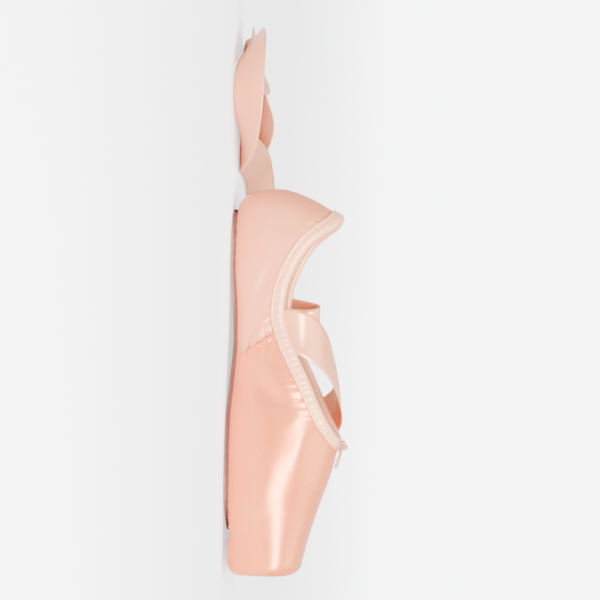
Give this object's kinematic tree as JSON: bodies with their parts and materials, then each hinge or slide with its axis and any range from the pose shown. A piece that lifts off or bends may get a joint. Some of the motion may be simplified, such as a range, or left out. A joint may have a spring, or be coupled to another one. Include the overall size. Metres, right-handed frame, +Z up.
{
  "type": "pointe shoe",
  "caption": "Satin pointe shoe with a stiff box and flat platform, low bound collar, drawstring bow at the throat, thin inset leather sole and loose sewn-in ribbons.",
  "frame": {"origin": "on the floor under the shoe, halfway between the back of the heel and the platform, and halfway across", "axes": "+X along the sole to the platform at the toe, +Z up, -Y to the side that the picture shows"},
  "size_m": [0.3245, 0.1992, 0.0702],
  "materials": {
    "satin": "glossy woven satin",
    "binding_satin": "satin tape",
    "ribbon_satin": "glossy satin ribbon",
    "drawstring": "soft woven cord",
    "sole_leather": "matte suede-like sole leather",
    "insole_canvas": "matte canvas"
  },
  "bodies": {
    "root": {"outsole": "sole_leather", "upper": "satin", "insole": "insole_canvas", "binding": "binding_satin", "ribbon_near": "ribbon_satin", "ribbon_far": "ribbon_satin", "drawstring_knot": "drawstring", "drawstring_loop_near": "drawstring", "drawstring_loop_far": "drawstring", "drawstring_end_near": "drawstring", "drawstring_end_far": "drawstring"}
  },
  "joints": []
}
